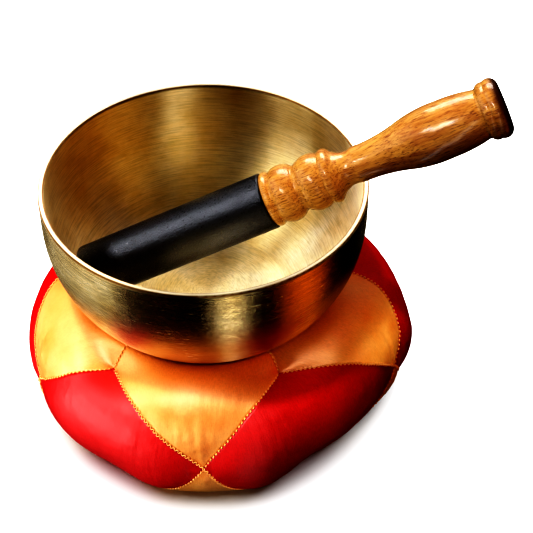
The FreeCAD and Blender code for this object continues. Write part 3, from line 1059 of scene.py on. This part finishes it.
def light(
    name,
    energy,
    location,
    size,
    colour=(1, 1, 1),
    target=BOWL_MIDDLE,
    only=(),
    spares=(),
    shadowless=(),
    diffuse=True,
    glossy=True,
):
    """An area light, or a sun where the size is one angle in degrees.

    It lights only some pieces, or all but those it spares, and the shadowless pieces throw no shadow from it.
    """
    sun = not isinstance(size, tuple)
    data = bpy.data.lights.new(name, "SUN" if sun else "AREA")
    data.energy = energy
    data.color = colour
    if sun:
        data.angle = math.radians(size)
    else:
        data.shape = "RECTANGLE"
        data.size, data.size_y = size
    lamp = add(name, data, location)
    look(lamp, Vector(target) - Vector(location))
    lamp.visible_camera = False
    lamp.visible_diffuse = diffuse
    lamp.visible_glossy = glossy
    if only:
        lamp.light_linking.receiver_collection = linked(f"{name}_receivers", only, "INCLUDE")
    if spares:
        lamp.light_linking.receiver_collection = linked(f"{name}_receivers", spares, "EXCLUDE")
    if shadowless:
        lamp.light_linking.blocker_collection = linked(f"{name}_blockers", shadowless, "EXCLUDE")


SHINE = {"diffuse": False}  # seen only as a shine
WASH = {"glossy": False}  # seen only as brightness
BACK = {"shadowless": STRIKER, **SHINE}

light("key", 2.4, (-0.2, 0, 1.0), 4.5, spares=[floor], target=GROUND, **WASH)
light("left_box", 10.0, front_sky(-86, 10), (1.35, 1.9), only=HARD)
light("left_cloth", 8.0, front_sky(-84, 42), (1.0, 0.9), only=COVER)
light("left_low", 11.0, front_sky(-62, 0), (1.1, 0.7), only=COVER)
light("strip", 2.0, front_sky(16.5, -8), (0.11, 2.0), spares=[floor], **SHINE)
light("right_card", 2.6, front_sky(68, -6), (0.45, 1.5), ORANGE, spares=[floor], **SHINE)
light("back_box", 18.0, (0.05, 1.0, 1.05), (1.2, 0.6), only=HARD, **BACK)
light("bowl_glow", 19, (-0.5, 0.95, 0.85), (1.0, 0.7), COLD, only=[BOWL], **BACK)
light("left_high", 3.0, front_sky(-80, 56), (1.3, 0.6), only=[BOWL], **SHINE)
light("strip_high", 2.3, front_sky(20, 24), (0.1, 0.5), only=[BOWL], **SHINE)
light("left_wall", 3.8, front_sky(-64, 34), (0.6, 0.5), only=[BOWL], **SHINE)
light("high_back", 6.0, (0, 0.6, 1.25), (1.2, 0.5), COOL, only=[BOWL], **BACK)
light("sleeve_box", 12, mirrored(-0.09, 0.42), (0.5, 0.14), (0.97, 0.98, 1.02), only=[SLEEVE, CAP], **SHINE)
light("wood_box", 5.0, mirrored(0.03, 0.16), (0.5, 0.2), only=[HANDLE], **SHINE)
light("back_fill", 9.0, front_sky(172, 22, 1.2), (1.4, 0.9), spares=[floor], **WASH)
light("front_warm", 5.0, (0, -1.1, 0.9), (1.0, 0.6), WARM, only=NOT_RIGHT, **WASH)
light(
    "corner_box",
    0.02,
    RIGHT_CORNER + Vector((0.042, -0.019, 0.033)),
    (0.02, 0.02),
    colour=(1, 0.95, 0.7),
    target=RIGHT_CORNER,
    only=RIGHT_KITE,
    **WASH,
)
light("satin_key", 3.4, (-0.25, -0.45, 1.0), 22, only=COVER, target=GROUND, **SHINE)
light("warm_fill", 90, (0, 0, 2.5), (6.0, 6.0), RED, spares=[floor], target=GROUND, **WASH)
light("floor_wash", 10, (0, 0, 2.5), 65, only=[floor], target=GROUND)


def studio_world():
    """White to the camera, nearly black to mirrors and dark grey to everything else."""
    world = bpy.data.worlds.new("studio")
    world.use_nodes = True
    tree = world.node_tree
    path = tree.nodes.new("ShaderNodeLightPath").outputs
    shade = tree.nodes["Background"].inputs["Color"]
    for ray, grey in (("Is Glossy Ray", 0.01), ("Is Camera Ray", 1.0)):
        mix = tree.nodes.new("ShaderNodeMix")
        mix.data_type = "RGBA"
        mix.inputs[7].default_value = (grey, grey, grey, 1)
        tree.links.new(path[ray], mix.inputs[0])
        tree.links.new(mix.outputs[2], shade)
        shade = mix.inputs[6]
    shade.default_value = (0.04, 0.04, 0.04, 1)
    return world


# the tone curve, with deep shadows: brightness in and out
TONES = ((0.04, 0.002), (0.1, 0.014), (0.2, 0.065), (0.35, 0.2), (0.55, 0.44), (0.8, 0.79))

scene.world = studio_world()
scene.view_settings.view_transform = "Standard"
scene.view_settings.use_curve_mapping = True
contrast = scene.view_settings.curve_mapping
for tone in TONES:
    contrast.curves[3].points.new(*tone)
contrast.update()
scene.cycles.use_denoising = True
